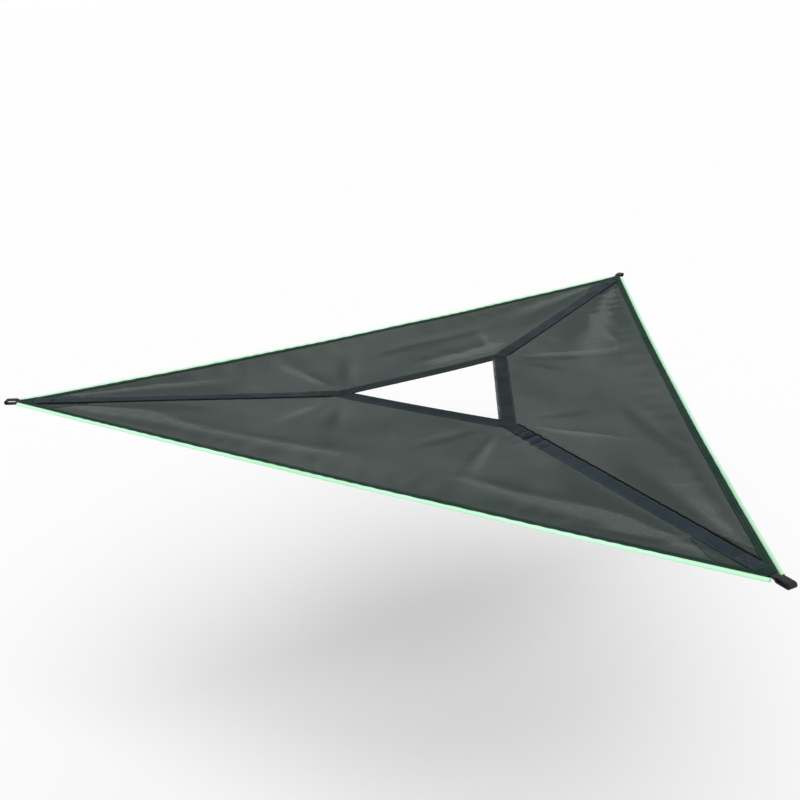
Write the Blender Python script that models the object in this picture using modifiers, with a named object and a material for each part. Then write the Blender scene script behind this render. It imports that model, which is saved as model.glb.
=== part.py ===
# Triangle hammock, held taut by a webbing loop at each of its three corners.
# Metres, +Z up. The origin is the centre of the triangle, at the height of the loop eyes.
# The front rim faces -Y. Corners: left at 210 degrees, right at 330, rear at 90.
# Panel pieces are drawn for the front panel, corner pieces for a corner that points along +X,
# and each is then turned to its place.

import math

import bmesh
import bpy
from mathutils import Vector

# Plan and sag of the cloth
SIDE = 2.8  # between the points where two rims would cross
HOLE_SIDE = 0.703  # triangle on the centre lines of the hole straps
RIM_BOW = 0.010  # the middle of each rim is drawn in
RIM_SAG = 0.015  # and hangs below its corners
CENTRE_SAG = 0.014  # hole corners below the outer corners
HOLE_SAG = 0.003  # middle of each hole edge below the hole corners
BILLOW = 0.012  # middle of each panel below its edges

# Tension folds that run out of each outer corner into the mesh
FOLD_HEIGHT = 0.004
FOLD_WAVES = 2.0  # between the rim and the seam
FOLD_REACH = 0.8
FLAT_MARGIN = 0.042  # the mesh lies flat under the sewn bands
FADE = 0.10  # and takes up its folds over this distance

# Cloth and tape thicknesses
MESH_THICKNESS = 0.0012
WEBBING_THICKNESS = 0.0015
HEM_THICKNESS = 0.0010
PATCH_THICKNESS = 0.0010
THREAD_THICKNESS = 0.0006
PIPING_WALL = 0.0008
PLY_GAP = 0.0003  # between plies that are sewn together
SEAM_GAP = 0.0004  # between edges that meet side by side

# Bands
WEBBING_WIDTH = 0.050
HEM_WIDTH = 0.022
HEM_ROOM = 0.0010  # between the cut edge of the mesh and the hem's fold
PIPING_RADIUS = 0.006
PIPING_FLANGE = 0.014  # how far its tape reaches in under the hem
PIPING_SLIT = math.radians(42)  # left open towards the hem
FILLER_RADIUS = 0.0044
BINDING_RADIUS = 0.003

# Outer corners
CORNER_TAPER = 0.035  # the strap narrows over this length, up to where the rims meet it
HINGE_INSET = 0.030  # loop root inside the point where the rims would cross
LOOP_NOSE_REACH = 0.031  # and the loop's end outside it
LOOP_THROAT = 0.008  # both plies lie together for this far from the root
LOOP_OPENING = 0.010  # and part to the full eye over this length
EYE_GAP = 0.011
TAIL_LENGTH = 0.115
MESH_TIP_INSET = 0.006  # mesh ends short of the blunt corner
PIPING_OVERHANG = 0.022  # and the piping past it, beside the loop
CORNER_PATCH_LENGTH = 0.220
CORNER_PATCH_HALF_WIDTH = 0.062
CORNER_PATCH_BACK_WIDTH = 0.036  # half width of its inner end
CORNER_PATCH_SPREAD = 0.25  # how fast its sides part from there

# Hole corners
HOLE_PATCH_INNER = 0.018  # towards the hole from the crossing of the centre lines
HOLE_PATCH_OUTER = 0.120
BINDING_INNER_INSET = 0.012

# Sewn boxes
STITCH_BAR = 0.0024
LOOP_STITCH_LENGTH = 0.046
LOOP_STITCH_WIDTH = 0.036
LOOP_STITCH_INSET = 0.012  # from the inner end of the tail
HOLE_STITCH_LENGTH = 0.040
HOLE_STITCH_WIDTH = 0.036
HOLE_STITCH_INSET = 0.010  # from the outer end of the patch

# Fineness
RIM_STEPS = 32
PANEL_STEPS = 12
STRAP_STEPS = 12
PATCH_STEPS = 8
NOSE_FACETS = 7  # odd, so that one facet faces straight back along the strap
ROOT_FACETS = 8
SLEEVE_FACETS = 9
SOLVE_ROUNDS = 4

CORNERS = {"left": 210.0, "right": 330.0, "rear": 90.0}
PANELS = {"front": 0.0, "right": 120.0, "left": 240.0}
CLOCKWISE_BINDINGS = {"rear"}  # the others run on the counter-clockwise side of the strap

THIRD = math.radians(120)
HALF_CORNER = math.radians(30)
RIM_ANGLE = HALF_CORNER - math.atan(4 * RIM_BOW / SIDE)  # between seam and bowed rim at the corner

# Distances from the centre, in plan
CIRCUMRADIUS = SIDE / math.sqrt(3)
APOTHEM = CIRCUMRADIUS / 2
HOLE_CIRCUMRADIUS = HOLE_SIDE / math.sqrt(3)
HOLE_APOTHEM = HOLE_CIRCUMRADIUS / 2
HALF_WEBBING = WEBBING_WIDTH / 2
BLUNT_CORNER = CIRCUMRADIUS - HALF_WEBBING / math.tan(RIM_ANGLE)
HEM_CROSSING = CIRCUMRADIUS - HEM_WIDTH / math.sin(RIM_ANGLE)
HOLE_STRAP_CROSSING = HOLE_CIRCUMRADIUS + HALF_WEBBING / math.sin(HALF_CORNER)
HINGE_RADIUS = CIRCUMRADIUS - HINGE_INSET
PIPING_TIP = BLUNT_CORNER + PIPING_OVERHANG

# The rim line is the outer face of the hem's fold, and the piping lies just outside it
PIPING_CENTRE = SEAM_GAP + PIPING_RADIUS

# The loop is webbing folded to half its width, so its plies are twice as thick
LOOP_PLY = 2 * WEBBING_THICKNESS
HALF_LOOP = HALF_WEBBING / 2
NOSE_INNER_RADIUS = EYE_GAP / 2
NOSE_OUTER_RADIUS = NOSE_INNER_RADIUS + LOOP_PLY
NOSE_CENTRE = HINGE_INSET + LOOP_NOSE_REACH - NOSE_OUTER_RADIUS
STRAP_END = HINGE_RADIUS - LOOP_PLY - SEAM_GAP

# Heights of each ply's middle above the middle of the mesh
STRAP_LIFT = MESH_THICKNESS / 2 + PLY_GAP + WEBBING_THICKNESS / 2
SECOND_STRAP_LIFT = STRAP_LIFT + WEBBING_THICKNESS + PLY_GAP
STITCH_LIFT = SECOND_STRAP_LIFT + WEBBING_THICKNESS / 2 + PLY_GAP + THREAD_THICKNESS / 2
HEM_LIFT = MESH_THICKNESS / 2 + PLY_GAP + HEM_THICKNESS / 2
FLANGE_LIFT = HEM_LIFT + HEM_THICKNESS / 2 + PLY_GAP + PIPING_WALL / 2
PATCH_LIFT = MESH_THICKNESS / 2 + PLY_GAP + PATCH_THICKNESS / 2
BINDING_LIFT = MESH_THICKNESS / 2 + PLY_GAP + BINDING_RADIUS
EYE_LIFT = (STRAP_LIFT + SECOND_STRAP_LIFT) / 2

# The seam falls evenly from corner to hole, and the eyes stand at height 0
SEAM_FALL = CENTRE_SAG / (CIRCUMRADIUS - HOLE_CIRCUMRADIUS)
CORNER_HEIGHT = SEAM_FALL * HINGE_INSET - EYE_LIFT

HEM_COLOUR = (0.013, 0.030, 0.022)
MATERIALS = {
    "mesh": ((0.055, 0.075, 0.070), 0.85),
    "strap": ((0.032, 0.044, 0.068), 0.70),
    "hem": (HEM_COLOUR, 0.80),
    "piping": ((0.50, 0.86, 0.56), 0.65),
    "filler": ((0.72, 0.70, 0.64), 0.90),
    "binding": ((0.006, 0.008, 0.007), 0.75),
    "loop": ((0.008, 0.008, 0.009), 0.70),
    "patch": ((0.024, 0.034, 0.048), 0.80),
    "thread": ((0.10, 0.11, 0.12), 0.60),
}


# Start and material set-up


def clear_scene():
    for item in list(bpy.data.objects):
        bpy.data.objects.remove(item, do_unlink=True)


def make_collection(name):
    group = bpy.data.collections.new(name)
    bpy.context.scene.collection.children.link(group)
    return group


def make_material(name, colour, roughness):
    material = bpy.data.materials.new(name)
    material.use_nodes = True
    shader = material.node_tree.nodes["Principled BSDF"]
    shader.inputs["Base Color"].default_value = (*colour, 1.0)
    shader.inputs["Roughness"].default_value = roughness
    shader.inputs["Metallic"].default_value = 0.0
    material.diffuse_color = (*colour, 1.0)
    return material


# Shape of the cloth


def turned(x, y, angle):
    return (
        x * math.cos(angle) - y * math.sin(angle),
        x * math.sin(angle) + y * math.cos(angle),
    )


def bow_reach(across):
    """Plan distance from the hole line to the rim of the front panel."""
    return APOTHEM - HOLE_APOTHEM - RIM_BOW * (1 - across * across)


def panel_point(across, outward):
    """Plan place on the front panel: across runs from -1 to 1, outward from 0 at the hole to 1."""
    half = outward * SIDE / 2 + (1 - outward) * HOLE_SIDE / 2
    return across * half, -HOLE_APOTHEM - outward * bow_reach(across)


def panel_share(x, y):
    """The inverse of panel_point."""
    across = 0.0
    outward = 0.0
    for _ in range(SOLVE_ROUNDS):
        outward = (-y - HOLE_APOTHEM) / bow_reach(across)
        half = outward * SIDE / 2 + (1 - outward) * HOLE_SIDE / 2
        across = x / half
    return across, outward


def cloth_height(x, y):
    """Height of the middle of the cloth, without billow and folds, on any panel."""
    sector = round((math.atan2(y, x) + math.pi / 2) / THIRD)
    across, outward = panel_share(*turned(x, y, -sector * THIRD))
    seam = CORNER_HEIGHT - (1 - outward) * CENTRE_SAG
    hang = outward * RIM_SAG + (1 - outward) * HOLE_SAG
    return seam - hang * (1 - across * across)


def draped(x, y, lift):
    return Vector((x, y, cloth_height(x, y) + lift))


def corner_draped(along, side, lift):
    """A point of a corner piece: along outwards from the centre, side across it."""
    return Vector((along, side, cloth_height(*turned(along, side, -HALF_CORNER)) + lift))


def ramp(distance):
    share = min(max((distance - FLAT_MARGIN) / FADE, 0.0), 1.0)
    return share * share * (3 - 2 * share)


def seam_distance(x, y):
    """Plan distance from a point of the front panel to the nearer seam."""
    return -math.cos(HALF_CORNER) * y - math.sin(HALF_CORNER) * abs(x)


def panel_relief(across, outward):
    """Billow and tension folds of the front panel, nothing near its edges."""
    x, y = panel_point(across, outward)
    reach = bow_reach(across)
    window = ramp((1 - outward) * reach) * ramp(outward * reach) * ramp(seam_distance(x, y))
    billow = BILLOW * math.sin(math.pi * outward) * (1 - across * across)
    from_corner = math.hypot(SIDE / 2 - abs(x), APOTHEM + y)
    angle = math.atan2(APOTHEM + y, SIDE / 2 - abs(x))
    wave = math.sin(math.tau * FOLD_WAVES * angle / HALF_CORNER)
    fold = FOLD_HEIGHT * wave * math.exp(-((from_corner / FOLD_REACH) ** 2))
    return window * (fold - billow)


# Mesh helpers


def sheet_mesh(name, steps_along, steps_across, place, trim=None):
    """A grid whose corners go to place(p, q), with p and q from 0 to 1, trimmed if asked."""
    grid = bmesh.new()
    bmesh.ops.create_grid(grid, x_segments=steps_along, y_segments=steps_across, size=1)
    for vert in grid.verts:
        vert.co = place((vert.co.x + 1) / 2, (vert.co.y + 1) / 2)
    if trim:
        trim(grid)
    mesh = bpy.data.meshes.new(name)
    grid.to_mesh(mesh)
    grid.free()
    return mesh


def cut_away(grid, point, normal):
    """Removes what lies beyond the plane, on the side that its normal points to."""
    geometry = grid.verts[:] + grid.edges[:] + grid.faces[:]
    bmesh.ops.bisect_plane(
        grid, geom=geometry, dist=0.00001, plane_co=point, plane_no=normal, clear_outer=True
    )


def trim_beside_seams(grid, clearance):
    """Cuts a front piece along both of its seams, clearance away from each."""
    for side in (-1, 1):
        normal = Vector((side * math.sin(HALF_CORNER), math.cos(HALF_CORNER), 0))
        cut_away(grid, normal * -clearance, normal)


def trim_tips(grid, distance):
    """Cuts both outer corners off a front piece, square to the seams."""
    for side in (-1, 1):
        normal = Vector((side * math.cos(HALF_CORNER), -math.sin(HALF_CORNER), 0))
        cut_away(grid, normal * distance, normal)


def add_sheet(name, mesh, thickness, material, group, angle):
    if not mesh.materials:
        mesh.materials.append(material)
    item = bpy.data.objects.new(name, mesh)
    group.objects.link(item)
    item.rotation_euler = (0, 0, angle)
    solid = item.modifiers.new("thickness", "SOLIDIFY")
    solid.thickness = thickness
    solid.offset = 0
    solid.use_even_offset = True
    return item


def cord_curve(name, points, radius, resolution, material):
    curve = bpy.data.curves.new(name, "CURVE")
    curve.dimensions = "3D"
    curve.bevel_depth = radius
    curve.bevel_resolution = resolution
    curve.use_fill_caps = True
    spline = curve.splines.new("POLY")
    spline.points.add(len(points) - 1)
    for place, point in zip(spline.points, points):
        place.co = (*point, 1)
    spline.use_smooth = True
    curve.materials.append(material)
    return curve


def outline_curve(name, outlines, half_thickness, material):
    """A flat outline with holes, given as closed rings of (x, y)."""
    curve = bpy.data.curves.new(name, "CURVE")
    curve.dimensions = "2D"
    curve.fill_mode = "BOTH"
    curve.extrude = half_thickness
    for ring in outlines:
        spline = curve.splines.new("POLY")
        spline.points.add(len(ring) - 1)
        for place, (x, y) in zip(spline.points, ring):
            place.co = (x, y, 0, 1)
        spline.use_cyclic_u = True
    curve.materials.append(material)
    return curve


def add_curve(name, curve, group, location, rotation):
    item = bpy.data.objects.new(name, curve)
    group.objects.link(item)
    item.location = location
    item.rotation_euler = rotation
    return item


def arc(centre, radius, first, last, facets):
    """Points on an arc about (centre, 0), angles in radians."""
    steps = [first + (last - first) * i / facets for i in range(facets + 1)]
    return [(centre + radius * math.cos(a), radius * math.sin(a)) for a in steps]


# Front panel, its rim and its side of the hole


def mesh_panel():
    def place(p, q):
        across = 2 * p - 1
        outward = q * (1 - (HEM_THICKNESS + HEM_ROOM) / bow_reach(across))
        x, y = panel_point(across, outward)
        return draped(x, y, panel_relief(across, outward))

    def trim(grid):
        trim_beside_seams(grid, SEAM_GAP / 2)
        trim_tips(grid, BLUNT_CORNER - MESH_TIP_INSET)

    return sheet_mesh("mesh_panel", RIM_STEPS, PANEL_STEPS, place, trim)


def rim_offset(across, out, lift):
    """A point beside the rim: out is the plan distance outwards from it."""
    x, y = panel_point(across, 1 + out / bow_reach(across))
    return draped(x, y, lift)


def rim_hem():
    """Tape folded round the edge of the mesh: over it, round the edge and under it."""
    fold = -HEM_THICKNESS / 2
    profile = [(-HEM_WIDTH, HEM_LIFT), (fold, HEM_LIFT), (fold, -HEM_LIFT), (-HEM_WIDTH, -HEM_LIFT)]
    last = len(profile) - 1

    def place(p, q):
        return rim_offset(2 * p - 1, *profile[round(q * last)])

    def trim(grid):
        trim_beside_seams(grid, HALF_WEBBING + SEAM_GAP)
        trim_tips(grid, BLUNT_CORNER)

    return sheet_mesh("rim_hem", RIM_STEPS, last, place, trim)


def piping_sleeve():
    """Tape that runs in under the hem and wraps the filler cord."""
    radius = PIPING_RADIUS - PIPING_WALL / 2
    meeting = math.pi + math.asin(FLANGE_LIFT / radius)
    turn = math.tau - PIPING_SLIT
    profile = [(-PIPING_FLANGE, -FLANGE_LIFT)]
    profile += arc(PIPING_CENTRE, radius, meeting, meeting + turn, SLEEVE_FACETS)
    last = len(profile) - 1

    def place(p, q):
        return rim_offset(2 * p - 1, *profile[round(q * last)])

    def trim(grid):
        trim_beside_seams(grid, HALF_LOOP + SEAM_GAP)
        trim_tips(grid, PIPING_TIP)

    return sheet_mesh("piping_sleeve", RIM_STEPS, last, place, trim)


def piping_filler(material):
    """The cord in the sleeve, ending just inside the sleeve's mouths."""
    tip_inset = CIRCUMRADIUS - PIPING_TIP + FILLER_RADIUS + PIPING_CENTRE * math.sin(HALF_CORNER)
    end = 1 - tip_inset / math.cos(HALF_CORNER) / (SIDE / 2)
    inner = [2 * i / RIM_STEPS - 1 for i in range(RIM_STEPS + 1)]
    stations = [-end] + [across for across in inner if abs(across) < end] + [end]
    points = [rim_offset(across, PIPING_CENTRE, 0) for across in stations]
    return cord_curve("piping_filler", points, FILLER_RADIUS, 2, material)


def hole_strap():
    """Webbing on the hole line, mitred on both seams."""

    def place(p, q):
        across = 2 * p - 1
        outward = (q - 0.5) * WEBBING_WIDTH / bow_reach(across)
        x, y = panel_point(across, outward)
        return draped(x, y, STRAP_LIFT)

    def trim(grid):
        trim_beside_seams(grid, SEAM_GAP / 2)

    return sheet_mesh("hole_strap", RIM_STEPS, 2, place, trim)


# Corner pieces, along the seam that points to +X


def strap_half_width(along):
    """Full width up to the blunt corner, then narrowing to the folded loop."""
    taper_start = BLUNT_CORNER - CORNER_TAPER
    share = min(max((along - taper_start) / (STRAP_END - taper_start), 0.0), 1.0)
    return HALF_WEBBING + (HALF_LOOP - HALF_WEBBING) * share


def strap_mesh(name, start, end, steps, lift):
    def place(p, q):
        along = start + (end - start) * p
        return corner_draped(along, (2 * q - 1) * strap_half_width(along), lift)

    return sheet_mesh(name, steps, 2, place)


def radial_strap():
    start = HOLE_STRAP_CROSSING + SEAM_GAP
    return strap_mesh("radial_strap", start, STRAP_END, STRAP_STEPS, STRAP_LIFT)


def tail_start():
    return STRAP_END - TAIL_LENGTH


def loop_tail():
    return strap_mesh("loop_tail", tail_start(), STRAP_END, PATCH_STEPS, SECOND_STRAP_LIFT)


def corner_patch():
    """Shield under the mesh, between the two hems."""
    end = BLUNT_CORNER - MESH_TIP_INSET - HEM_WIDTH
    start = end - CORNER_PATCH_LENGTH

    def half_width(along):
        beside_hem = (HEM_CROSSING - along) * math.tan(RIM_ANGLE) - SEAM_GAP * 2
        widening = CORNER_PATCH_BACK_WIDTH + (along - start) * CORNER_PATCH_SPREAD
        return min(beside_hem, CORNER_PATCH_HALF_WIDTH, widening)

    def place(p, q):
        along = start + (end - start) * p
        return corner_draped(along, (2 * q - 1) * half_width(along), -PATCH_LIFT)

    return sheet_mesh("corner_patch", PATCH_STEPS * 2, 4, place)


def hole_patch():
    """Webbing over the mitre of two hole straps and the inner end of the radial strap."""
    start = HOLE_CIRCUMRADIUS - HOLE_PATCH_INNER
    end = HOLE_CIRCUMRADIUS + HOLE_PATCH_OUTER

    def place(p, q):
        along = start + (end - start) * p
        return corner_draped(along, (2 * q - 1) * HALF_WEBBING, SECOND_STRAP_LIFT)

    return sheet_mesh("hole_patch", PATCH_STEPS, 2, place)


def seam_binding(side, material):
    """Round welt on the mesh, beside the radial strap."""
    beside = side * (HALF_WEBBING + SEAM_GAP + BINDING_RADIUS)
    start = HOLE_CIRCUMRADIUS + BINDING_INNER_INSET
    end = HEM_CROSSING - (abs(beside) + BINDING_RADIUS + SEAM_GAP) / math.tan(RIM_ANGLE)
    alongs = [start + (end - start) * i / STRAP_STEPS for i in range(STRAP_STEPS + 1)]
    points = [corner_draped(along, beside, BINDING_LIFT) for along in alongs]
    return cord_curve("seam_binding", points, BINDING_RADIUS, 1, material)


def corner_loop(material):
    """Side view of the loop, its root on the hinge, its eye open towards the nose."""
    half_turn = math.pi / 2
    opening_end = LOOP_THROAT + LOOP_OPENING
    outer = arc(0, LOOP_PLY, half_turn, 3 * half_turn, ROOT_FACETS)
    outer += [(LOOP_THROAT, -LOOP_PLY), (opening_end, -NOSE_OUTER_RADIUS)]
    outer += arc(NOSE_CENTRE, NOSE_OUTER_RADIUS, -half_turn, half_turn, NOSE_FACETS)
    outer += [(opening_end, NOSE_OUTER_RADIUS), (LOOP_THROAT, LOOP_PLY)]
    inner = [(LOOP_THROAT + PLY_GAP, 0), (opening_end, -NOSE_INNER_RADIUS)]
    inner += arc(NOSE_CENTRE, NOSE_INNER_RADIUS, -half_turn, half_turn, NOSE_FACETS)
    inner += [(opening_end, NOSE_INNER_RADIUS)]
    return outline_curve("corner_loop", [outer, inner], HALF_LOOP, material)


def sewn_box(name, length, width, material):
    """A stitched rectangle with a cross in it, as an outline and the four spaces between the threads."""
    x, y = length / 2, width / 2
    diagonal = math.hypot(x, y)
    rise = STITCH_BAR / 2 * diagonal / x
    run = STITCH_BAR / 2 * diagonal / y
    inner_x = x - STITCH_BAR
    inner_y = y - STITCH_BAR
    slope = y / x
    top_x = inner_y / slope - run
    side_y = inner_x * slope - rise
    rings = [[(-x, -y), (x, -y), (x, y), (-x, y)]]
    for sign in (-1, 1):
        rings.append([(-top_x, sign * inner_y), (top_x, sign * inner_y), (0, sign * rise)])
        rings.append([(sign * inner_x, -side_y), (sign * inner_x, side_y), (sign * run, 0)])
    return outline_curve(name, rings, THREAD_THICKNESS / 2, material)


def seam_height(along):
    return CORNER_HEIGHT - SEAM_FALL * (CIRCUMRADIUS - along)


def add_sewn_box(name, curve, group, along, angle):
    x, y = turned(along, 0, angle)
    location = (x, y, seam_height(along) + STITCH_LIFT)
    return add_curve(name, curve, group, location, (0, -math.atan(SEAM_FALL), angle))


def build():
    clear_scene()
    group = make_collection("triangle_hammock")
    materials = {name: make_material(name, *values) for name, values in MATERIALS.items()}

    panel_sheets = {
        "mesh_panel": (mesh_panel(), MESH_THICKNESS, "mesh"),
        "rim_hem": (rim_hem(), HEM_THICKNESS, "hem"),
        "edge_piping": (piping_sleeve(), PIPING_WALL, "piping"),
        "hole_strap": (hole_strap(), WEBBING_THICKNESS, "strap"),
    }
    filler = piping_filler(materials["filler"])
    for panel, degrees in PANELS.items():
        angle = math.radians(degrees)
        for piece, (mesh, thickness, kind) in panel_sheets.items():
            add_sheet(f"{panel}_{piece}", mesh, thickness, materials[kind], group, angle)
        add_curve(f"{panel}_piping_filler", filler, group, (0, 0, 0), (0, 0, angle))

    corner_sheets = {
        "radial_strap": (radial_strap(), WEBBING_THICKNESS, "strap"),
        "loop_tail": (loop_tail(), WEBBING_THICKNESS, "strap"),
        "corner_patch": (corner_patch(), PATCH_THICKNESS, "patch"),
        "hole_corner_patch": (hole_patch(), WEBBING_THICKNESS, "strap"),
    }
    loop = corner_loop(materials["loop"])
    loop_box = sewn_box("loop_stitching", LOOP_STITCH_LENGTH, LOOP_STITCH_WIDTH, materials["thread"])
    hole_box = sewn_box("hole_stitching", HOLE_STITCH_LENGTH, HOLE_STITCH_WIDTH, materials["thread"])
    loop_box_at = tail_start() + LOOP_STITCH_INSET + LOOP_STITCH_LENGTH / 2
    hole_box_at = HOLE_CIRCUMRADIUS + HOLE_PATCH_OUTER - HOLE_STITCH_INSET - HOLE_STITCH_LENGTH / 2
    for corner, degrees in CORNERS.items():
        angle = math.radians(degrees)
        for piece, (mesh, thickness, kind) in corner_sheets.items():
            add_sheet(f"{corner}_{piece}", mesh, thickness, materials[kind], group, angle)
        binding = seam_binding(-1 if corner in CLOCKWISE_BINDINGS else 1, materials["binding"])
        add_curve(f"{corner}_seam_binding", binding, group, (0, 0, 0), (0, 0, angle))
        hinge = (*turned(HINGE_RADIUS, 0, angle), 0)
        add_curve(f"{corner}_corner_loop", loop, group, hinge, (math.pi / 2, 0, angle))
        add_sewn_box(f"{corner}_loop_stitching", loop_box, group, loop_box_at, angle)
        add_sewn_box(f"{corner}_hole_stitching", hole_box, group, hole_box_at, angle)


build()
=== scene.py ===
import math
import random

import bpy
import numpy as np
from mathutils import Matrix, Vector


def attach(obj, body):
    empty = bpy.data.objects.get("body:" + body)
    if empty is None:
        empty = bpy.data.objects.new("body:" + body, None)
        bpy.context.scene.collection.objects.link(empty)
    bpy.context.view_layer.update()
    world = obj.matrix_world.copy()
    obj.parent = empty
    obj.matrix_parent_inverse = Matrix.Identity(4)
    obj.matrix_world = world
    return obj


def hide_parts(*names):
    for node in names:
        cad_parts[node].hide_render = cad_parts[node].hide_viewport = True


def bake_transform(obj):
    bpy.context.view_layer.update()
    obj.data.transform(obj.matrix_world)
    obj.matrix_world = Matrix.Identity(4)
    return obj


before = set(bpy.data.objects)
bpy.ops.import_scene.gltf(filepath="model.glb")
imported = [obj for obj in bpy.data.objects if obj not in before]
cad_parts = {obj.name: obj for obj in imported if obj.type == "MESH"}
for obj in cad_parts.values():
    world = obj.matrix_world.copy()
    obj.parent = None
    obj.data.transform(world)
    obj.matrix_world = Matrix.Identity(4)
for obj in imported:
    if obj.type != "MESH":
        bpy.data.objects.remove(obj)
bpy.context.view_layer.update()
print("frame loaded")

cornerTurns = {"left": 210, "right": 330, "rear": 90}  # the way each corner points, in degrees
panelTurns = {"front": 0, "right": 120, "left": 240}  # how far the front panel is turned to make each

# the hung shape, in metres
hang = {
    "side": 2.8, "holeSide": 0.703, "rimBow": 0.01, "rimSag": 0.015, "centreSag": 0.014,
    "holeSag": 0.003, "eyeInset": 0.03, "strapHalf": 0.025, "loopHalf": 0.0125,
    "edgeGap": 0.0004,  # between pieces that meet side by side
}
thirdTurn = math.radians(120)
halfCorner = math.radians(30)
cornerSine, cornerCosine = math.sin(halfCorner), math.cos(halfCorner)
cornerTangent = math.tan(halfCorner)
strapHalf = hang["strapHalf"]
halfSide = hang["side"] / 2
circumradius = hang["side"] / math.sqrt(3)
apothem = circumradius / 2
holeCircumradius = hang["holeSide"] / math.sqrt(3)
holeApothem = holeCircumradius / 2
rimAngle = halfCorner - math.atan(4 * hang["rimBow"] / hang["side"])
bluntCorner = circumradius - strapHalf / math.tan(rimAngle)
hingeRadius = circumradius - hang["eyeInset"]

# middles of the plies above the middle of the netting
lift = {
    "strap": 0.00165, "upper": 0.00345, "hem": 0.0014, "flange": -0.0026, "shield": -0.0014,
    "eye": 0.00255,
}
seamFall = hang["centreSag"] / (circumradius - holeCircumradius)
cornerHeight = seamFall * hang["eyeInset"] - lift["eye"]


# The shape of the cloth


def smooth(value, low, high):
    share = np.clip((np.asarray(value, float) - low) / (high - low), 0, 1)
    return share * share * (3 - 2 * share)


def bell(value, width):
    return np.exp(-((value / width) ** 2))


def turned(x, y, degrees):
    a = math.radians(degrees)
    return x * math.cos(a) - y * math.sin(a), x * math.sin(a) + y * math.cos(a)


def bowReach(across):
    return apothem - holeApothem - hang["rimBow"] * (1 - across * across)


def panelShare(x, y):
    # where a point of the front panel is: from -1 to 1 across it, and from 0 at the hole to 1 at the rim
    across = 0.0
    for _ in range(4):
        outward = (-y - holeApothem) / bowReach(across)
        across = x / (outward * halfSide + (1 - outward) * hang["holeSide"] / 2)
    return across, outward


def sectorOf(x, y):
    return np.rint((np.arctan2(y, x) + math.pi / 2) / thirdTurn)


def toFront(x, y):
    a = -sectorOf(x, y) * thirdTurn
    return x * np.cos(a) - y * np.sin(a), x * np.sin(a) + y * np.cos(a)


noise = {"waves": 7, "lengths": (0.7, 1.6), "spread": 4}  # the sum of the waves is divided by the spread


def softNoise(x, y, size, seed):
    # a smooth field of about -1 to 1, made of waves in fixed random directions
    rng = random.Random(seed)
    total = 0.0
    for _ in range(noise["waves"]):
        way = rng.uniform(0, math.tau)
        length = size * rng.uniform(*noise["lengths"])
        run = x * math.cos(way) + y * math.sin(way)
        total = total + np.sin(math.tau * run / length + rng.uniform(0, math.tau))
    return total / noise["spread"]


ripples = {
    "drift": 0.0011, "driftSize": 0.42,  # long uneven waves in cloth and straps alike
    "seam": 0.0007, "seamPitch": 0.047, "seamReach": 0.075,  # short waves across the seams
    "seamStart": (0.3, 0.36), "seamSway": (0.7, 9),  # where they begin, and how their pitch changes
    "rim": 0.0006, "rimPitch": 0.058, "rimReach": 0.06, "rimSway": (0.8, 7),  # and across the rims
    "panelWidth": 0.62,
    "tipCalm": (0.34, 0.16),  # all of them die out between these distances from the rims' crossing
    "gather": 0.0021, "gatherPitch": 0.045,  # the three puckers beside the right hole corner
    "gatherAt": 0.545, "gatherLength": 0.075, "gatherLean": (0.25, 3.0),
}


def besideSeam(along, aside):
    return bell(aside, ripples["seamReach"]) * smooth(along, *ripples["seamStart"])


def gatherWave(x, y):
    # the puckers across the right seam, as waves of height 1
    along, aside = turned(x, y, -cornerTurns["right"])
    bump = bell(along - ripples["gatherAt"], ripples["gatherLength"])
    skew, bend = ripples["gatherLean"]
    lean = along + skew * aside + bend * aside * aside
    return besideSeam(along, aside) * bump * np.sin(math.tau * lean / ripples["gatherPitch"])


def ripple(x, y):
    # shared by every ply, so that the plies stay together
    values = ripples
    calmFrom, calmTo = values["tipCalm"]
    calm = 1 - smooth(np.hypot(x, y), circumradius - calmFrom, circumradius - calmTo)
    total = values["drift"] * softNoise(x, y, values["driftSize"], 3)
    sway, turns = values["seamSway"]
    for degrees in cornerTurns.values():
        along, aside = turned(x, y, -degrees)
        phase = along / values["seamPitch"] + sway * np.sin(along * turns + degrees)
        total = total + values["seam"] * besideSeam(along, aside) * np.sin(math.tau * phase)
    total = total + values["gather"] * gatherWave(x, y)
    fx, fy = toFront(x, y)
    across, outward = panelShare(fx, fy)
    besideRim = bell((1 - outward) * values["panelWidth"], values["rimReach"])
    sway, turns = values["rimSway"]
    phase = fx / values["rimPitch"] + sway * np.sin(fx * turns + sectorOf(x, y) * 2)
    return (total + values["rim"] * besideRim * np.sin(math.tau * phase)) * calm


def clothHeight(x, y):
    across, outward = panelShare(*toFront(x, y))
    seam = cornerHeight - (1 - outward) * hang["centreSag"]
    drop = outward * hang["rimSag"] + (1 - outward) * hang["holeSag"]
    return seam - drop * (1 - across * across) + ripple(x, y)


def draped(x, y, height, degrees):
    # points at this height over the cloth; x and y are turned by these degrees first
    x, y = turned(x, y, degrees)
    return np.stack([x, y, clothHeight(x, y) + height], axis=-1)


# Meshes from rows of points


def forEach(turns, make, *rest):
    return {name: make(name, degrees, *rest) for name, degrees in turns.items()}


def link(name, data):
    item = bpy.data.objects.new(name, data)
    bpy.context.scene.collection.objects.link(item)
    return item


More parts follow.
